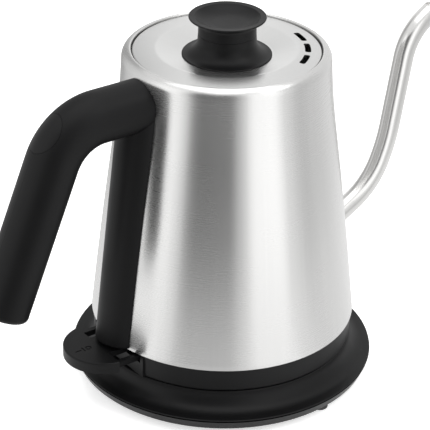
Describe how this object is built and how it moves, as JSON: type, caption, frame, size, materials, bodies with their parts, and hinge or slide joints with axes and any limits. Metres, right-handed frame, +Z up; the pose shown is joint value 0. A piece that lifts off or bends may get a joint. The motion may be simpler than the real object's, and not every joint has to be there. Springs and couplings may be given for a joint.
{
  "type": "electric gooseneck kettle",
  "caption": "Cordless steel gooseneck kettle with a looped grip, vented lift-off lid, knob and rear rocker switch, standing on a round power base.",
  "frame": {"origin": "on the kettle's vertical axis, on the surface that the feet stand on", "axes": "+Z up, +X towards the spout, -X towards the grip"},
  "size_m": [0.2972, 0.1645, 0.1994],
  "materials": {
    "brushed_steel": "fine circular brushing",
    "polished_steel": "finely brushed, nearly polished",
    "plain_steel": "mill finish",
    "heater_aluminium": "cast, dull",
    "black_plastic": "matte with a fine grain",
    "control_plastic": "matte",
    "contact_brass": "plain",
    "silicone": "soft translucent grey silicone",
    "foot_rubber": "soft black",
    "zinc_screw": "zinc plated"
  },
  "bodies": {
    "power_base": {"base_bottom": "black_plastic", "base_top": "black_plastic", "base_feet": "foot_rubber", "base_screws": "zinc_screw", "base_connector": "control_plastic", "base_contacts": "contact_brass", "connector_screws": "zinc_screw", "cord_gland": "foot_rubber", "cord_clamp": "control_plastic", "clamp_screws": "zinc_screw"},
    "socket_ring": {"socket": "control_plastic", "socket_contacts": "contact_brass"},
    "kettle": {"steel_body": "brushed_steel", "floor_plate": "plain_steel", "heat_plate": "heater_aluminium", "heating_element": "plain_steel", "element_terminals": "plain_steel", "control_housing": "control_plastic", "steam_disc": "contact_brass", "dry_boil_discs": "contact_brass", "rocker_pin": "plain_steel", "toggle_spring": "plain_steel", "skirt": "black_plastic", "skirt_screws": "zinc_screw", "lever_pins": "plain_steel", "grip_left": "black_plastic", "grip_right": "black_plastic", "grip_plug": "black_plastic", "grip_dowels": "plain_steel", "grip_bracket": "plain_steel", "grip_screw": "zinc_screw", "spine": "black_plastic", "steam_tube": "silicone", "spout": "polished_steel"},
    "lever": {"switch_lever": "black_plastic"},
    "rocker": {"trip_rocker": "control_plastic"},
    "lid_seal": {"lid_gasket": "silicone"},
    "lid": {"lid_pan": "plain_steel", "lid_top": "brushed_steel", "knob_base": "black_plastic", "knob_cap": "black_plastic", "knob_washer": "zinc_screw", "knob_screw": "zinc_screw"}
  },
  "joints": [
    {"name": "kettle_lift", "type": "slide", "parent": "power_base", "child": "socket_ring", "axis": [0, 0, 1], "range_m": [0, 0.06]},
    {"name": "kettle_turn", "type": "hinge", "parent": "socket_ring", "child": "kettle", "pos_m": [0, 0, 0.03], "axis": [0, 0, 1], "continuous": true},
    {"name": "lever_rock", "type": "hinge", "parent": "kettle", "child": "lever", "pos_m": [-0.062, 0, 0.0293], "axis": [0, -1, 0], "range_deg": [0, 7]},
    {"name": "rocker_turn", "type": "hinge", "parent": "kettle", "child": "rocker", "pos_m": [-0.034, 0, 0.027], "axis": [0, -1, 0], "range_deg": [-14, 1]},
    {"name": "lid_lift", "type": "slide", "parent": "kettle", "child": "lid_seal", "axis": [0, 0, 1], "range_m": [0, 0.04]},
    {"name": "lid_turn", "type": "hinge", "parent": "lid_seal", "child": "lid", "pos_m": [0, 0, 0.18], "axis": [0, 0, 1], "continuous": true}
  ],
  "couplings": [
    {"joint": "rocker_turn", "follows": "lever_rock", "ratio": -1.947}
  ]
}
